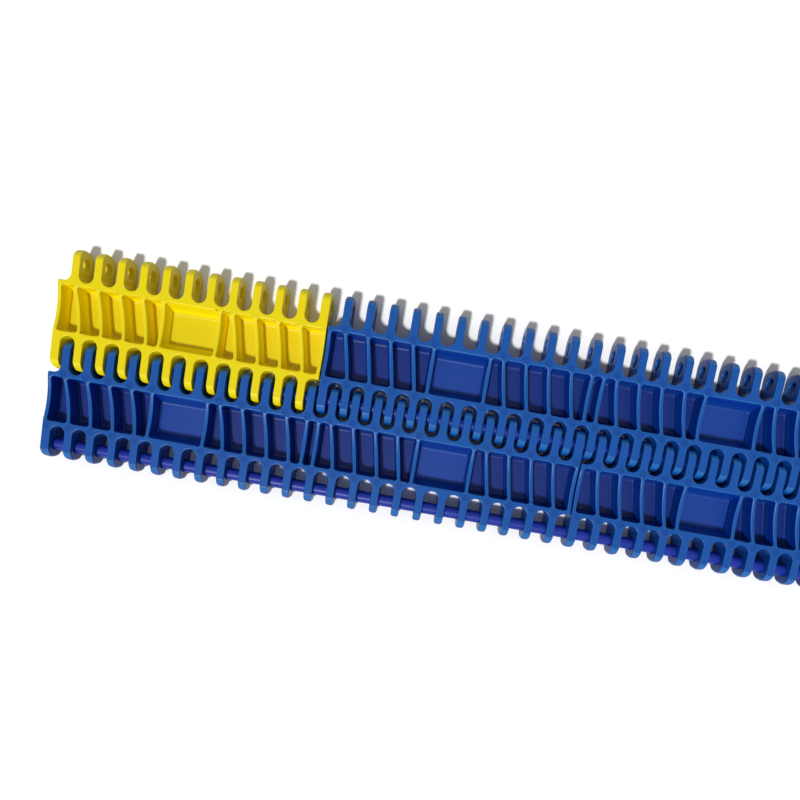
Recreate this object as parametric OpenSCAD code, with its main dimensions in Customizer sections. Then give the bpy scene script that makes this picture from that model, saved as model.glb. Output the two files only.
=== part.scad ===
// Modular plastic belt: two rows of moulded modules, laid like bricks and joined by a hinge rod.
// It lies with its carrying face down and its drive side up. X runs across the belt, Y along the
// travel and Z up. The origin is under the middle of the hinge rod, on the carrying face.

/* [Belt] */
// Distance from one rod axis to the next, along the travel
belt_pitch = 50.8; // [48:0.2:56]
// Distance from one hinge finger to the next, across the belt
link_pitch = 12.7; // [12:0.1:15]
// Links across each of the two short modules
short_links = 12; // [12:12:24]
// Links across each of the two long modules
long_links = 24; // [24:12:48]
// Thickness, from the carrying face to the drive side
thickness = 15; // [13:0.5:18]
// Gap between two modules side by side in a row
seam_gap = 0.8; // [0.6:0.1:1.5]

/* [Hinge fingers] */
// Width of a finger, across the belt
finger_w = 4.5; // [4:0.1:5.4]
// How much a fingertip's radius exceeds half the thickness
tip_over = 0.7; // [0.3:0.1:1.5]
// Rounding of a fingertip's corners, seen from above
tip_corner = 1.8; // [0.5:0.1:1.9]
// Gap between a fingertip and the base of the slot it turns in
tip_gap = 2.2; // [1:0.1:3]

/* [Rods] */
// Diameter of a rod
rod_d = 7; // [5:0.1:8]
// Play around a rod in its bores, on each side
rod_play = 0.08; // [0.03:0.01:0.1]
// How far a rod's ends stay inside the belt's edges
rod_inset = 1; // [0.5:0.1:3]
// Chamfer around a rod's ends
rod_chamfer = 0.5; // [0.2:0.1:1]

/* [Deck, crossbars and ribs] */
// Thickness of the deck under the compartments
deck_t = 5; // [3:0.1:6]
// Width of a crossbar, from the base of a slot to the compartments
crossbar_w = 2.3; // [1.5:0.1:4]
// Thickness of a rib, at the drive side
rib_t = 1.8; // [1.2:0.1:2.4]
// How far a rib leans sideways on its way from one crossbar to the other
rib_lean = 5; // [0:0.1:6]
// How far the ribs and walls dip between the crossbars
rib_dip = 1.6; // [0.5:0.1:3]
// Thickness of the wall at each end of a module
end_wall = 2; // [1.2:0.1:3]
// Clear width of the narrow compartment in the middle of a long module
middle_gap = 4.8; // [4.2:0.1:6]

/* [Compartments] */
// Slope of the compartment walls away from upright, in degrees
wall_draft = 6; // [1:0.5:8]
// Rounding of the upright corners of a compartment
corner_r = 1.8; // [0.5:0.1:2]
// Rounding at the foot of a rib
rib_foot_r = 0.8; // [0.3:0.1:1.5]
// Rounding at the foot of a crossbar
crossbar_foot_r = 2.2; // [0.5:0.1:3]
// Slope of the two faces of a drive pocket that a sprocket tooth pushes on, in degrees
drive_draft = 20; // [12:0.5:24]

/* [Ejector marks] */
// Diameter of the round marks at the roots of the fingers
mark_d = 3.8; // [2:0.1:4.5]
// Depth of these marks
mark_depth = 0.2; // [0.1:0.05:0.5]

/* [Hidden] */
$fn = 64;
// Links after which the pattern of ribs and pockets repeats
group_links = 12;
// Links of a group whose ribs lean, counted from each of its ends
rib_links = 4;
// Half the width of a drive pocket in links, between the middles of its walls
pocket_half_links = 1.25;
// Place of the fingers in a link, as shares of the link pitch
back_finger = 0.75;
front_finger = 0.25;
// Distance that a cutting shape runs past what it cuts
over = 1;

half_pitch = belt_pitch / 2;
half_t = thickness / 2;
tip_r = half_t + tip_over;
bore_r = rod_d / 2 + rod_play;
slot_r = (link_pitch - finger_w) / 2;
// Distances along the travel from the middle of a module
slot_base_y = half_pitch - tip_r - tip_gap;
slot_centre_y = slot_base_y + slot_r;
compartment_y = slot_base_y - crossbar_w;
tip_y = half_pitch + tip_r;
mark_y = slot_base_y;
compartment_depth = thickness - deck_t;
belt_w = (short_links + long_links) * link_pitch;
// The dip under the ribs is an arc that ends just inside the crossbars
dip_half = compartment_y - over / 2;
dip_r = (dip_half * dip_half + rib_dip * rib_dip) / (2 * rib_dip);

// Unit vector from one point to another
function towards(a, b) = (b - a) / norm(b - a);

// Half the angle of a corner between two neighbouring points
function half_corner(before, point, after) =
    acos(towards(point, before) * towards(point, after)) / 2;

// Centre of the circle that rounds a corner
function round_centre(before, point, after, r) =
    point + towards(point, (towards(point, before) + towards(point, after)) / 2 + point)
    * r / sin(half_corner(before, point, after));

// Where the rounding of a corner begins, on the side that leads to the other point
function round_start(before, point, after, other, r) =
    point + towards(point, other) * r / tan(half_corner(before, point, after));

// Four-cornered outline with rounded corners
module rounded_quad(points, r) {
    polygon([for (i = [0:3])
        let (before = points[(i + 3) % 4], point = points[i], after = points[(i + 1) % 4])
        for (other = [before, after])
            round_start(before, point, after, other, r)]);
    for (i = [0:3])
        translate(round_centre(points[(i + 3) % 4], points[i], points[(i + 1) % 4], r))
            circle(r = r);
}

// Section of the space beside a wall: the sloped face, its rounded foot and the floor
module beside_section(draft, r, reach) {
    foot_x = (compartment_depth - r) * tan(draft) + r / cos(draft);
    top = compartment_depth + over;
    polygon([
        [0, top],
        [0, compartment_depth],
        [foot_x - r * cos(draft), r - r * sin(draft)],
        [foot_x, 0],
        [reach, 0],
        [reach, top]
    ]);
    translate([foot_x, r])
        circle(r = r);
}

// Space to the right of a wall that stands on the deck and may lean sideways
module beside_wall(front_x, back_x) {
    lean = atan((back_x - front_x) / (2 * compartment_y));
    translate([(front_x + back_x) / 2, 0, deck_t])
        rotate([90, 0, -lean])
            linear_extrude(belt_pitch, center = true)
                beside_section(wall_draft, rib_foot_r, belt_pitch);
}

// Space between the two crossbars, all across a module
module between_crossbars(width, draft) {
    translate([0, 0, deck_t])
        rotate([90, 0, 90])
            linear_extrude(width)
                intersection() {
                    translate([-compartment_y, 0])
                        beside_section(draft, crossbar_foot_r, belt_pitch);
                    translate([compartment_y, 0])
                        mirror([1, 0])
                            beside_section(draft, crossbar_foot_r, belt_pitch);
                }
}

// Hollow between two walls. Each wall's face is given by its place at the front and back crossbar.
module compartment(left, right, width, draft) {
    intersection() {
        between_crossbars(width, draft);
        beside_wall(left[0], left[1]);
        mirror([1, 0, 0])
            beside_wall(-right[0], -right[1]);
        translate([0, 0, deck_t])
            linear_extrude(compartment_depth + over)
                rounded_quad([
                    [left[0], -compartment_y],
                    [right[0], -compartment_y],
                    [right[1], compartment_y],
                    [left[1], compartment_y]
                ], corner_r);
    }
}

// Middles of the walls of one group of links, from its left end to its right end, each as its
// place at the front and back crossbar. The outermost two are the faces next to the compartments.
function group_walls(first_face, last_face) = [
    [first_face, first_face],
    for (i = [1:rib_links])
        [i * link_pitch + rib_lean / 2, i * link_pitch - rib_lean / 2],
    for (side = [-1, 1])
        [1, 1] * (group_links / 2 + side * pocket_half_links) * link_pitch,
    for (i = [group_links - rib_links:group_links - 1])
        [i * link_pitch + rib_lean / 2, i * link_pitch - rib_lean / 2],
    [last_face, last_face]
];

// All the hollows of one group of links, the drive pocket in its middle included
module group_hollows(first_face, last_face, width) {
    walls = group_walls(first_face, last_face);
    last = len(walls) - 2;
    half_rib = [rib_t, rib_t] / 2;
    for (i = [0:last])
        compartment(
            walls[i] + (i == 0 ? [0, 0] : half_rib),
            walls[i + 1] - (i == last ? [0, 0] : half_rib),
            width,
            i == rib_links + 1 ? drive_draft : wall_draft
        );
}

// Outline of one finger from above, from the crossbar to its rounded tip
module finger_outline(x_from, x_to) {
    translate([x_from, 0])
        square([x_to - x_from, tip_y - tip_corner]);
    translate([x_from + tip_corner, 0])
        square([x_to - x_from - 2 * tip_corner, tip_y]);
    for (x = [x_from + tip_corner, x_to - tip_corner])
        translate([x, tip_y - tip_corner])
            circle(r = tip_corner);
}

// Back half of a module from above: the crossbar with its slots and fingers. The slot at the left
// end has no finger beyond it and runs out to the end as a level shelf.
module half_outline(links) {
    start = seam_gap / 2;
    end = links * link_pitch - seam_gap / 2;
    difference() {
        translate([start, 0])
            square([end - start, slot_centre_y]);
        for (i = [0:links - 1])
            translate([(i + front_finger) * link_pitch, slot_centre_y])
                circle(r = slot_r);
        translate([0, slot_base_y])
            square([front_finger * link_pitch, slot_r + over]);
    }
    for (i = [0:links - 1])
        intersection() {
            middle = (i + back_finger) * link_pitch;
            finger_outline(middle - finger_w / 2, i == links - 1 ? end : middle + finger_w / 2);
            translate([0, slot_base_y])
                square([end, tip_y]);
        }
}

// Section of a module along the travel: flat plate with a round knuckle about each rod axis
module side_section() {
    translate([-half_pitch, 0])
        square([belt_pitch, thickness]);
    for (y = [-half_pitch, half_pitch])
        translate([y, half_t])
            circle(r = tip_r);
}

// Round shallow marks at the roots of the back fingers, except those beside a drive pocket
module half_marks(links) {
    for (i = [0:links - 1])
        if (abs(i % group_links + back_finger - group_links / 2) > 1)
            translate([(i + back_finger) * link_pitch, mark_y, thickness - mark_depth])
                cylinder(d = mark_d, h = mark_depth + over);
}

// One moulded module, its left end at x = 0 and its middle between the rod axes at y = 0
module belt_module(links, marked) {
    width = links * link_pitch;
    groups = links / group_links;
    group_w = group_links * link_pitch;
    difference() {
        intersection() {
            linear_extrude(thickness) {
                half_outline(links);
                translate([width, 0])
                    rotate(180)
                        half_outline(links);
            }
            rotate([90, 0, 90])
                linear_extrude(width)
                    intersection() {
                        side_section();
                        translate([-tip_y, 0])
                            square([2 * tip_y, thickness]);
                    }
        }
        for (y = [-half_pitch, half_pitch])
            translate([-over, y, half_t])
                rotate([0, 90, 0])
                    cylinder(r = bore_r, h = width + 2 * over);
        for (g = [0:groups - 1])
            translate([g * group_w, 0, 0])
                group_hollows(
                    g == 0 ? seam_gap / 2 + end_wall : middle_gap / 2 + rib_t,
                    g == groups - 1 ? group_w - seam_gap / 2 - end_wall
                        : group_w - middle_gap / 2 - rib_t,
                    group_w
                );
        if (groups > 1)
            for (g = [1:groups - 1])
                translate([(g - 0.5) * group_w, 0, 0])
                    compartment(
                        [1, 1] * (group_w - middle_gap) / 2,
                        [1, 1] * (group_w + middle_gap) / 2,
                        group_w,
                        wall_draft
                    );
        translate([-over, 0, thickness - rib_dip + dip_r])
            rotate([0, 90, 0])
                cylinder(r = dip_r, h = width + 2 * over);
        if (marked) {
            half_marks(links);
            translate([width, 0, 0])
                rotate([0, 0, 180])
                    half_marks(links);
        }
    }
}

// A rod through all the fingers of a hinge, its left end at x = 0
module rod() {
    length = belt_w - 2 * rod_inset;
    rotate([0, 90, 0])
        rotate_extrude()
            polygon([
                [0, 0],
                [rod_d / 2 - rod_chamfer, 0],
                [rod_d / 2, rod_chamfer],
                [rod_d / 2, length - rod_chamfer],
                [rod_d / 2 - rod_chamfer, length],
                [0, length]
            ]);
}

module module_rear_left() {
    color("gold")
        translate([-belt_w / 2, half_pitch, 0])
            belt_module(short_links, false);
}

module module_rear_right() {
    color("royalblue")
        translate([short_links * link_pitch - belt_w / 2, half_pitch, 0])
            belt_module(long_links, true);
}

module module_front_left() {
    color("royalblue")
        translate([-belt_w / 2, -half_pitch, 0])
            belt_module(long_links, true);
}

module module_front_right() {
    color("royalblue")
        translate([long_links * link_pitch - belt_w / 2, -half_pitch, 0])
            belt_module(short_links, true);
}

module hinge_rod() {
    color("darkslateblue")
        translate([rod_inset - belt_w / 2, 0, half_t])
            rod();
}

module end_rod() {
    color("darkslateblue")
        translate([rod_inset - belt_w / 2, -belt_pitch, half_t])
            rod();
}

module_rear_left();
module_rear_right();
module_front_left();
module_front_right();
hinge_rod();
end_rod();
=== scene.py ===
import math

import bmesh
import bpy
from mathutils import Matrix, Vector
from mathutils.bvhtree import BVHTree


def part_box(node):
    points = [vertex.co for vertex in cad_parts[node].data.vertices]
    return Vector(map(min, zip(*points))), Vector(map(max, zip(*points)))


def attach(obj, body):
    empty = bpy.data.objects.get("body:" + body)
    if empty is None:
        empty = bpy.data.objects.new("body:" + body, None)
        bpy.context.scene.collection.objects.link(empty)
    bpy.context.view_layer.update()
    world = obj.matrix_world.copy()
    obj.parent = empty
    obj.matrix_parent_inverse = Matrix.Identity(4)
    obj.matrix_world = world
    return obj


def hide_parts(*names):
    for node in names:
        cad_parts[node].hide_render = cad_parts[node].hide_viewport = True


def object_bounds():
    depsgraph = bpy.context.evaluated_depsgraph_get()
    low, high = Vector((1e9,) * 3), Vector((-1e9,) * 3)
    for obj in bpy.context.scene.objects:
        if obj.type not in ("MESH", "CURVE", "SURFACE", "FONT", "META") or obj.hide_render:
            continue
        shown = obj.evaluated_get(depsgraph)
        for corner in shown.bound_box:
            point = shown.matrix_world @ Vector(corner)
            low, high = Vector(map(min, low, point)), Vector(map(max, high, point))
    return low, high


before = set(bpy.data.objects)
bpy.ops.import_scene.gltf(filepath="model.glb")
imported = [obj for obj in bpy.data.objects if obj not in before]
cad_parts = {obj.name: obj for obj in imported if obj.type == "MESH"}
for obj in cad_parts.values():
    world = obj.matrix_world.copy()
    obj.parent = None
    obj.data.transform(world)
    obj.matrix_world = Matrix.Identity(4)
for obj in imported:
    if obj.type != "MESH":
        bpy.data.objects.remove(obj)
cad_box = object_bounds()


# ---- Blue modules -----------------------------------------------------------------------------
# Three belt modules, each one piece of blue polypropylene straight from the mould: a long one on
# the left of the front row, a short one beside it and a long one behind. Their fingers mesh and
# the rods hold them together.

BLUE_MODULES = {
    "module_front_left": "front_row",
    "module_front_right": "front_row",
    "module_rear_right": "rear_right",
}
MICROMETRE = 1e-6
TOP = round(cad_box[1][2], 6)
BELT_PITCH = 0.0508
LINK_PITCH = BELT_PITCH / 4
ROW_MIDDLE = BELT_PITCH / 2
POCKET_PITCH = 12 * LINK_PITCH
EDGE_ROUNDING = 0.0006

MARK_D = 0.0038
MARK_DEPTH = 0.0002
MARK_BOTTOM = TOP - MARK_DEPTH
MARK_SPREAD = 0.004  # points of one mark lie closer together than this
PIN_LENGTH = 0.002  # of the tool that presses a mark

COMPARTMENT_REACH = 0.0135  # from the middle of the row past the ends of its compartments
WALL_SLOPE = 0.6  # the normal of a wall points up or down by less than this
LONG_WALL = 0.004  # shorter walls aren't cut
WALL_END = 0.0015  # from the end of a wall to its cut


def select_only(piece):
    """Makes one object the active and only selected one."""
    for other in bpy.context.selected_objects:
        other.select_set(False)
    piece.select_set(True)
    bpy.context.view_layer.objects.active = piece


def fill_marks(mesh):
    """Lifts the bottoms of the round ejector marks up to the face around them, and says where
    their middles are."""
    bottoms = [
        face for face in mesh.polygons
        if face.normal.z > 0.99 and abs(face.center.z - MARK_BOTTOM) < MICROMETRE
    ]
    marks = []
    for point in {v for face in bottoms for v in face.vertices}:
        place = mesh.vertices[point].co
        place.z = TOP
        for mark in marks:
            if (mark[0] - place.xy).length < MARK_SPREAD:
                mark.append(place.xy)
                break
        else:
            marks.append([place.xy])
    return [
        [(min(p[i] for p in mark) + max(p[i] for p in mark)) / 2 for i in (0, 1)]
        for mark in marks
    ]


def split_walls(mesh):
    """Cuts each long wall of the compartments across near its ends, so that a rounding that ends
    in a tight corner only touches the end of its wall."""
    work = bmesh.new()
    work.from_mesh(mesh)
    walls = [
        face for face in work.faces
        if abs(face.normal.z) < WALL_SLOPE
        and all(abs(abs(v.co.y) - ROW_MIDDLE) < COMPARTMENT_REACH for v in face.verts)
    ]
    for wall in walls:
        along = Vector((-wall.normal.y, wall.normal.x, 0)).normalized()
        places = [v.co.dot(along) for v in wall.verts]
        start, end = min(places), max(places)
        if end - start < LONG_WALL:
            continue
        piece = [wall, *wall.edges, *wall.verts]
        for place in (start + WALL_END, end - WALL_END):
            piece = bmesh.ops.bisect_plane(
                work, geom=piece, dist=20 * MICROMETRE,
                plane_co=along * place, plane_no=along)["geom"]
    work.to_mesh(mesh)
    work.free()


def round_edges(piece, low, high):
    """Rounds all edges of a module, and keeps it within the corners low and high of its box."""
    mesh = piece.data
    surface = BVHTree.FromPolygons(
        [v.co for v in mesh.vertices], [list(face.vertices) for face in mesh.polygons])
    rounding = piece.modifiers.new("edge_rounding", "BEVEL")
    rounding.width = EDGE_ROUNDING
    rounding.segments = 2
    rounding.limit_method = "ANGLE"
    rounding.angle_limit = math.radians(30)
    rounding.use_clamp_overlap = False
    rounding.loop_slide = False
    bpy.ops.object.modifier_apply(modifier=rounding.name)
    for vertex in piece.data.vertices:
        # In a tight corner a rounding can overshoot, so its points go back onto the surface
        nearest, _, _, distance = surface.find_nearest(vertex.co)
        if distance > EDGE_ROUNDING / 2:
            vertex.co = nearest
        for i in range(3):
            vertex.co[i] = min(max(vertex.co[i], low[i]), high[i])


def press_marks(piece, marks):
    """Cuts the shallow round ejector marks back into the rounded module."""
    pins = []
    for x, y in marks:
        bpy.ops.mesh.primitive_cylinder_add(
            vertices=32, radius=MARK_D / 2, depth=PIN_LENGTH,
            location=(x, y, MARK_BOTTOM + PIN_LENGTH / 2))
        pins.append(bpy.context.object)
    for pin in pins:
        pin.select_set(True)
    bpy.ops.object.join()
    tool = bpy.context.object
    select_only(piece)
    press = piece.modifiers.new("ejector_marks", "BOOLEAN")
    press.operation = "DIFFERENCE"
    press.solver = "EXACT"
    press.object = tool
    bpy.ops.object.modifier_apply(modifier=press.name)
    bpy.data.objects.remove(tool, do_unlink=True)


def moulded_copy(node, body, material):
    """The module with the small roundings that a mould leaves along all its edges."""
    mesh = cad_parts[node].data.copy()
    mesh.name = "moulded_" + node
    piece = bpy.data.objects.new("moulded_" + node, mesh)
    bpy.context.scene.collection.objects.link(piece)
    select_only(piece)
    bpy.ops.object.mode_set(mode="EDIT")
    bpy.ops.mesh.select_all(action="SELECT")
    bpy.ops.mesh.remove_doubles(threshold=MICROMETRE)
    bpy.ops.object.mode_set(mode="OBJECT")
    marks = fill_marks(mesh)
    bpy.ops.object.mode_set(mode="EDIT")
    bpy.ops.mesh.select_all(action="SELECT")
    bpy.ops.mesh.remove_doubles(threshold=10 * MICROMETRE)
    bpy.ops.mesh.dissolve_limited(angle_limit=math.radians(0.5))
    bpy.ops.mesh.remove_doubles(threshold=50 * MICROMETRE)
    bpy.ops.object.mode_set(mode="OBJECT")
    split_walls(mesh)
    round_edges(piece, *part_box(node))
    if marks:
        press_marks(piece, marks)
    select_only(piece)
    bpy.ops.object.shade_smooth_by_angle(angle=math.radians(32))
    even = piece.modifiers.new("even_normals", "WEIGHTED_NORMAL")
    even.keep_sharp = True
    bpy.ops.object.modifier_apply(modifier=even.name)
    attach(piece, body)
    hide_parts(node)
    give_material(piece, material)


def give_material(piece, material):
    """Makes a material the only one of a piece."""
    piece.data.materials.clear()
    piece.data.materials.append(material)


class Number:
    """What a socket gives out. Each operator on it adds a Math node."""

    def __init__(self, recipe, socket):
        self.recipe = recipe
        self.socket = socket

    def math(self, operation, *others):
        """A Math node with this number on its first socket."""
        return self.recipe.node("ShaderNodeMath", {"operation": operation}, [self, *others])

    def __add__(self, other):
        return self.math("ADD", other)

    def __sub__(self, other):
        return self.math("SUBTRACT", other)

    def __rsub__(self, other):
        return self.recipe.node("ShaderNodeMath", {"operation": "SUBTRACT"}, [other, self])

    def __mul__(self, other):
        return self.math("MULTIPLY", other)

    def __gt__(self, other):
        return self.math("GREATER_THAN", other)

    def __lt__(self, other):
        return self.math("LESS_THAN", other)

    def __abs__(self):
        return self.math("ABSOLUTE")

    __radd__ = __add__
    __rmul__ = __mul__


class Recipe:
    """The nodes of a material or a world, and its one shader."""

    def __init__(self, owner, shader="Principled BSDF"):
        owner.use_nodes = True
        self.owner = owner
        self.tree = owner.node_tree
        self.shader = self.tree.nodes[shader]

    def node(self, kind, settings, sockets, output=0):
        """Adds a node. sockets holds values or links, in order or by name."""
        made = self.tree.nodes.new(kind)
        for name, value in settings.items():
            setattr(made, name, value)
        pairs = sockets.items() if isinstance(sockets, dict) else enumerate(sockets)
        for key, value in pairs:
            self.feed(made.inputs[key], value)
        return Number(self, made.outputs[output])

    def feed(self, socket, value):
        """Links a Number to a socket, or sets the socket to a plain value."""
        if isinstance(value, Number):
            self.tree.links.new(value.socket, socket)
        else:
            socket.default_value = value

    def place(self, output):
        """Texture coordinates, such as Object or Normal."""
        return self.node("ShaderNodeTexCoord", {}, {}, output)

    def noise(self, size, detail):
        """Cloudy noise whose patches are about size metres across."""
        sockets = {"Vector": self.place("Object"), "Scale": 1 / size, "Detail": detail}
        return self.node("ShaderNodeTexNoise", {}, sockets, "Fac")

    def blend(self, factor, a, b):
        """Goes from colour a to colour b. Each is a link, or its red, green and blue."""
        a, b = (c if isinstance(c, Number) else (*c, 1) for c in (a, b))
        # A Mix node has its factor on socket 0, its colours on 6 and 7 and their mix on output 2
        return self.node("ShaderNodeMix", {"data_type": "RGBA"}, {0: factor, 6: a, 7: b}, 2)

    def part_of(self, place, axis):
        """One coordinate of a place or a direction."""
        return self.node("ShaderNodeSeparateXYZ", {}, [place], axis)

    def fade(self, value, start, end):
        """Goes smoothly from 0 where value is start to 1 where it is end."""
        sockets = {"Value": value, "From Min": start, "From Max": end}
        return self.node("ShaderNodeMapRange", {"interpolation_type": "SMOOTHSTEP"}, sockets)


# Where the finish and the painted light and shade change. Each pair is where a change starts and
# where it is complete.
# Distances from the middle of the row and from the middle of the drive pocket:
COMPARTMENT_EDGE = (COMPARTMENT_REACH, 0.0125)
POCKET_SIDE = (0.0162, 0.0156)
# Heights above the carrying face:
MATT_AND_SHADE_HEIGHT = (0.0098, 0.0066)
RIM_HEIGHT = (0.0120, 0.0130)
DRIVE_FACE_FOOT = (0.0072, 0.0100)
DRIVE_FACE_TOP = (0.0149, 0.0138)
# How far a face turns up, from 0 for an upright wall to 1 for a flat top:
FLAT = (0.75, 0.95)
STEEP = (0.80, 0.45)
RIM_OUTER = (0.30, 0.55)
RIM_INNER = (0.985, 0.93)

MARK_MARGIN = 50 * MICROMETRE
SATIN_ROUGHNESS = 0.27
RELIEF_DEPTH = 0.0002


def polypropylene(name, skin, grain_tone, side_tone_and_glow, floor, floor_tone, pocket, wall, drive_face_tone_and_glow, rim_highlight, mark):
    """Moulded plastic: satin on top and on the drive faces, and matt with the grain of the mould
    low down in the compartments, where the floors, the pocket floors and the walls each have
    their own tone. The tones carry painted light as well: the darker blue floors and walls are
    partly painted shade of the deep compartments, darkest in the narrow ones; the paler yellow
    sides, walls and drive faces are a painted glow in their shade; and a lighter tone along the
    rims is a painted highlight."""
    plastic = Recipe(bpy.data.materials.new(name))
    place = plastic.place("Object")
    across = plastic.part_of(place, "X")
    along = plastic.part_of(place, "Y")
    height = plastic.part_of(place, "Z")
    upward = plastic.part_of(plastic.place("Normal"), "Z")

    cloud = plastic.noise(0.014, 3)
    mottle = plastic.noise(0.0030, 4)
    grain = plastic.noise(0.0006, 3)

    inside = plastic.fade(abs(abs(along) - ROW_MIDDLE), *COMPARTMENT_EDGE)
    # Low down in the compartments the tone changes: the matt finish, and in blue painted shade
    # too.
    low = inside * plastic.fade(height, *MATT_AND_SHADE_HEIGHT)
    facing_up = plastic.fade(upward, *FLAT)
    steep = plastic.fade(upward, *STEEP)
    # Along the rims of the openings the tone turns lighter: a painted highlight.
    rim_highlight_mask = (
        plastic.fade(upward, *RIM_OUTER)
        * plastic.fade(upward, *RIM_INNER)
        * plastic.fade(height, *RIM_HEIGHT)
    )
    drive_face = (
        inside
        * steep
        * plastic.fade(height, *DRIVE_FACE_FOOT)
        * plastic.fade(height, *DRIVE_FACE_TOP)
    )
    from_pocket = (across + POCKET_PITCH / 2).math("PINGPONG", POCKET_PITCH) - POCKET_PITCH / 2
    in_pocket = plastic.fade(abs(from_pocket), *POCKET_SIDE)
    pressed = (
        facing_up
        * (height > MARK_BOTTOM - MARK_MARGIN)
        * (height < MARK_BOTTOM + MARK_MARGIN)
    )

    outside = plastic.blend(grain * 0.5 + cloud * 0.5, skin, grain_tone)
    # Steep outer faces take the side tone; the yellow's is paler than its top, a painted glow in
    # its shade.
    outside = plastic.blend(steep, outside, side_tone_and_glow)
    # Floors: the grain of the mould, and in blue painted shade, darker in the narrow compartments
    # than in the pocket.
    hollow_tone_and_painted_light = plastic.blend(mottle * 0.55 + grain * 0.45, floor, floor_tone)
    hollow_tone_and_painted_light = plastic.blend(in_pocket * 0.85, hollow_tone_and_painted_light, pocket)
    # Steep faces low down take the wall tone: in blue a darker one, partly painted shade; in
    # yellow a paler one, a painted glow.
    hollow_tone_and_painted_light = plastic.blend(steep, hollow_tone_and_painted_light, wall)
    colour = plastic.blend(low, outside, hollow_tone_and_painted_light)
    # Drive faces: in blue a darker, richer tone; in yellow a paler one, a painted glow in its
    # shade.
    colour = plastic.blend(drive_face, colour, drive_face_tone_and_glow)
    # Painted highlight along the rims.
    colour = plastic.blend(rim_highlight_mask * 0.8, colour, rim_highlight)
    colour = plastic.blend(pressed * 0.35, colour, mark)
    plastic.feed(plastic.shader.inputs["Base Color"], colour)

    roughness = SATIN_ROUGHNESS + 0.06 * cloud + 0.05 * grain + 0.06 * low
    plastic.feed(plastic.shader.inputs["Roughness"], roughness)
    relief = grain * (0.22 + low * 0.55) + cloud * 0.4 + mottle * low * 0.7
    bump = plastic.node(
        "ShaderNodeBump", {},
        {"Strength": 0.3, "Distance": RELIEF_DEPTH, "Height": relief}, "Normal")
    plastic.feed(plastic.shader.inputs["Normal"], bump)
    plastic.shader.inputs["Specular IOR Level"].default_value = 0.2
    return plastic.owner


blue_plastic = polypropylene(
    "blue_polypropylene",
    skin=(0.0040, 0.0700, 0.3200),
    grain_tone=(0.0070, 0.0820, 0.3400),
    side_tone_and_glow=(0.0030, 0.0640, 0.3200),
    # Floors and walls darker than the skin: partly the matt finish, partly painted shade; the
    # narrow floors are darker than the pocket's, painted shade.
    floor=(0.0070, 0.0300, 0.2000),
    floor_tone=(0.0020, 0.0150, 0.1400),
    pocket=(0.0080, 0.0500, 0.2850),
    wall=(0.0040, 0.0380, 0.2400),
    drive_face_tone_and_glow=(0.0004, 0.0300, 0.2900),
    # A lighter blue along the rims: a painted highlight.
    rim_highlight=(0.0200, 0.1450, 0.4300),
    mark=(0.0020, 0.0300, 0.1900),
)
for node, body in BLUE_MODULES.items():
    moulded_copy(node, body, blue_plastic)


# ---- Yellow module ----------------------------------------------------------------------------
# One short module of yellow polypropylene from the same mould family, on the left of the row
# behind. It turns on the hinge rod between the fingers of the front row.

yellow_plastic = polypropylene(
    "yellow_polypropylene",
    skin=(0.7500, 0.6150, 0.0020),
    grain_tone=(0.7800, 0.6350, 0.0040),
    # Sides, walls and drive faces paler than the skin: a painted glow for light the translucent
    # plastic lets into its shade.
    side_tone_and_glow=(0.9800, 0.8000, 0.0020),
    floor=(0.7000, 0.5500, 0.0020),
    floor_tone=(0.6300, 0.4900, 0.0010),
    pocket=(0.6600, 0.5400, 0.0010),
    # The walls and drive faces carry the same painted glow.
    wall=(0.9800, 0.8000, 0.0020),
    drive_face_tone_and_glow=(0.8600, 0.7000, 0.0010),
    # A lighter yellow along the rims: a painted highlight.
    rim_highlight=(0.8300, 0.7000, 0.0200),
    mark=(0.6600, 0.5000, 0.0020),
)
moulded_copy("module_rear_left", "rear_left", yellow_plastic)


# ---- Rods -------------------------------------------------------------------------------------
# Two plain rods of drawn violet-blue polyethylene, pushed in from the side: one in the hinge
# between the rows and one in the free fingers of the front row. They turn freely in their bores.

ROD_DARK = (0.0040, 0.0200, 0.2400)
ROD_LIGHT = (0.0080, 0.0300, 0.3300)
STREAKS_PER_METRE = (20, 2500, 2500)

rod_plastic = Recipe(bpy.data.materials.new("drawn_rod_plastic"))
stretched = rod_plastic.node(
    "ShaderNodeVectorMath", {"operation": "MULTIPLY"},
    [rod_plastic.place("Object"), STREAKS_PER_METRE])
streaks = rod_plastic.node(
    "ShaderNodeTexNoise", {}, {"Vector": stretched, "Scale": 1.0, "Detail": 3}, "Fac")
rod_plastic.feed(
    rod_plastic.shader.inputs["Base Color"], rod_plastic.blend(streaks, ROD_DARK, ROD_LIGHT))
rod_plastic.feed(rod_plastic.shader.inputs["Roughness"], 0.34 + 0.10 * streaks)
rod_plastic.shader.inputs["Specular IOR Level"].default_value = 0.25
for node in ("hinge_rod", "end_rod"):
    give_material(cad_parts[node], rod_plastic.owner)


# ---- Studio -----------------------------------------------------------------------------------
# A floor that looks white but throws back little light, a soft sun from the front left, a weak
# even sky that looks white as well, and the camera above the belt, which looks almost straight
# down on its drive side.

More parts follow.
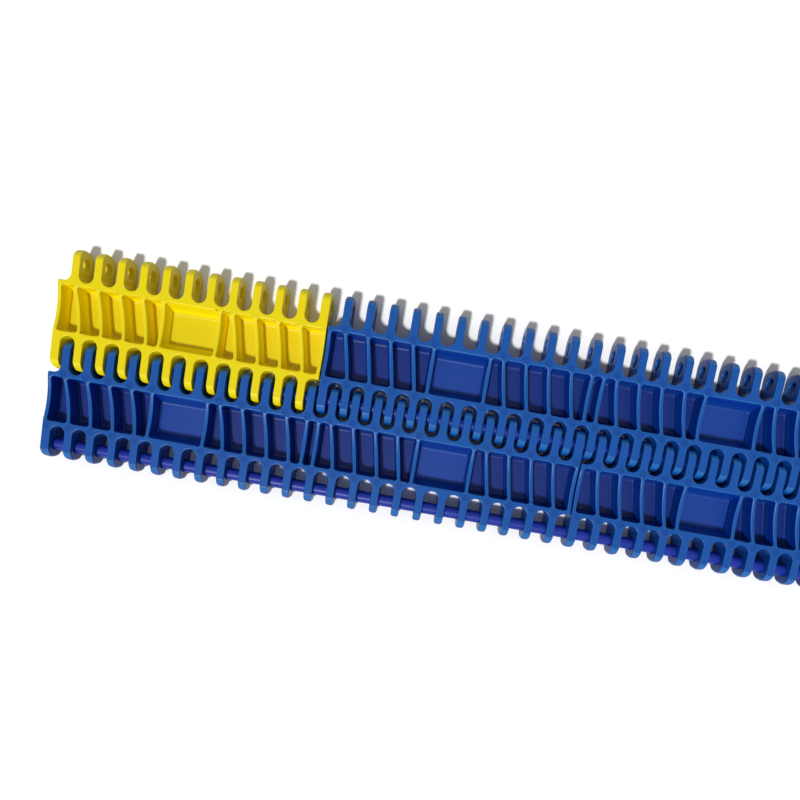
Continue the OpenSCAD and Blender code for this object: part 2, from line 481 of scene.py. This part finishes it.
FLOOR_SIZE = 6
FLOOR_GAP = 0.0002
PAPER_TO_LIGHT = (0.25, 0.25, 0.25)
PAPER_TO_EYE = (1, 1, 1)
SKY_LIGHT = 0.32

bpy.ops.mesh.primitive_plane_add(size=FLOOR_SIZE, location=(0, 0, -FLOOR_GAP))
floor = bpy.context.object
floor.name = "studio_floor"


def seen_directly(recipe):
    """1 where the camera sees the surface straight on, in a reflection or through glass."""
    camera_ray, glossy_ray, glass_ray = (
        recipe.node("ShaderNodeLightPath", {}, {}, ray)
        for ray in ("Is Camera Ray", "Is Glossy Ray", "Is Transmission Ray")
    )
    return camera_ray.math("MAXIMUM", glossy_ray).math("MAXIMUM", glass_ray)


paper = Recipe(bpy.data.materials.new("pale_paper"))
paper.feed(
    paper.shader.inputs["Base Color"],
    paper.blend(seen_directly(paper), PAPER_TO_LIGHT, PAPER_TO_EYE))
paper.shader.inputs["Roughness"].default_value = 0.9
paper.shader.inputs["Specular IOR Level"].default_value = 0.0
floor.data.materials.append(paper.owner)

lamp_data = bpy.data.lights.new("key_lamp", "SUN")
lamp_data.angle = math.radians(6)
lamp_data.energy = 2.7
lamp = bpy.data.objects.new("key_lamp", lamp_data)
bpy.context.scene.collection.objects.link(lamp)
lamp.location = (-0.4, -1.1, 2.0)
lamp.rotation_euler = (-lamp.location).to_track_quat("-Z", "Y").to_euler()

world = bpy.data.worlds.new("studio")
bpy.context.scene.world = world
sky = Recipe(world, "Background")
sky.shader.inputs["Color"].default_value = (1, 1, 1, 1)
sky.feed(sky.shader.inputs["Strength"], SKY_LIGHT + (1 - SKY_LIGHT) * seen_directly(sky))

camera_data = bpy.data.cameras.new("camera")
camera_data.lens = 27.90
camera_data.sensor_width = 36
camera_data.shift_x = 0.0006
camera_data.shift_y = 0.1382
camera_data.clip_start = 0.01
camera = bpy.data.objects.new("camera", camera_data)
bpy.context.scene.collection.objects.link(camera)
camera.location = (-0.01757, -0.01613, 0.36545)
camera.rotation_euler = (-0.10578, 0.02423, 0.17161)
bpy.context.scene.camera = camera
bpy.context.scene.view_settings.view_transform = "Standard"
